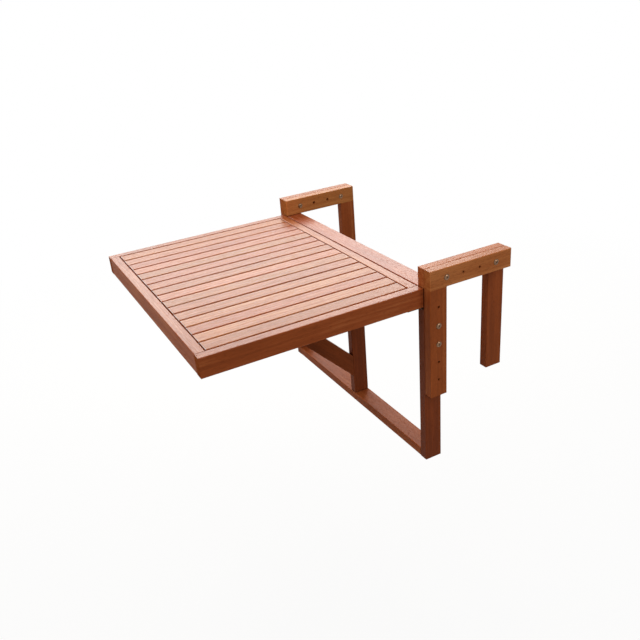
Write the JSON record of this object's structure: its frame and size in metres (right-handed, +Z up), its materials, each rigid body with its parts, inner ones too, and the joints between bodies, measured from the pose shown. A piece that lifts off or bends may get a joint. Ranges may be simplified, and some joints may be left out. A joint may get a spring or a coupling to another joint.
{
  "type": "balcony table",
  "caption": "Slatted hardwood table that hangs from a balcony rail on two adjustable hooks, with a hinged top held up by a swinging braced gate.",
  "frame": {"origin": "midway between the hooks, level with the undersides of the hook bars and with the back faces of the legs: where the rail's upper front edge comes", "axes": "X along the rail, +X to the right seen from the table's front; +Y from the table towards the rail and over it; +Z up"},
  "size_m": [0.8052, 0.8135, 0.549],
  "materials": {
    "frame_wood": "planed and oiled reddish hardwood, satin",
    "slat_wood": "planed and oiled reddish hardwood, satin, lighter where it faces the sky",
    "dowel_wood": "plain beech",
    "bolt_steel": "zinc-plated steel, bright",
    "hinge_bronze": "dark bronze-coloured steel"
  },
  "bodies": {
    "frame": {"leg_left": "frame_wood", "leg_right": "frame_wood", "top_rail": "frame_wood", "bottom_rail": "frame_wood", "hook_board_left": "frame_wood", "hook_board_right": "frame_wood", "hook_bar_left": "frame_wood", "hook_bar_right": "frame_wood", "clamp_bar_left": "frame_wood", "clamp_bar_right": "frame_wood", "clamp_leg_left": "frame_wood", "clamp_leg_right": "frame_wood", "hook_bolts": "bolt_steel", "hook_nuts": "bolt_steel", "frame_dowels": "dowel_wood", "hook_dowels": "dowel_wood", "gate_pins": "bolt_steel", "gate_washers": "bolt_steel", "hinge_frame_leaf_left": "hinge_bronze", "hinge_frame_leaf_right": "hinge_bronze", "hinge_pin_left": "hinge_bronze", "hinge_pin_right": "hinge_bronze", "hinge_frame_screws": "hinge_bronze"},
    "gate": {"gate_post": "frame_wood", "gate_arm": "frame_wood", "gate_brace": "frame_wood", "gate_dowels": "dowel_wood"},
    "table": {"table_side_left": "frame_wood", "table_side_right": "frame_wood", "table_end_front": "frame_wood", "table_end_back": "frame_wood", "batten_front": "frame_wood", "batten_middle": "frame_wood", "batten_back": "frame_wood", "table_dowels": "dowel_wood", "hinge_table_leaf_left": "hinge_bronze", "hinge_table_leaf_right": "hinge_bronze", "hinge_table_screws": "hinge_bronze", "slat_01": "slat_wood", "slat_02": "slat_wood", "slat_03": "slat_wood", "slat_04": "slat_wood", "slat_05": "slat_wood", "slat_06": "slat_wood", "slat_07": "slat_wood", "slat_08": "slat_wood", "slat_09": "slat_wood", "slat_10": "slat_wood", "slat_11": "slat_wood", "slat_12": "slat_wood", "slat_13": "slat_wood", "slat_14": "slat_wood", "slat_15": "slat_wood", "slat_16": "slat_wood"}
  },
  "joints": [
    {"name": "gate_swing", "type": "hinge", "parent": "frame", "child": "gate", "pos_m": [0, -0.0245, 0], "axis": [0, 0, 1], "range_deg": [-90, 90]},
    {"name": "tabletop_lift", "type": "hinge", "parent": "frame", "child": "table", "pos_m": [0, -0.0508, -0.0528], "axis": [-1, 0, 0], "range_deg": [0, 2]}
  ]
}
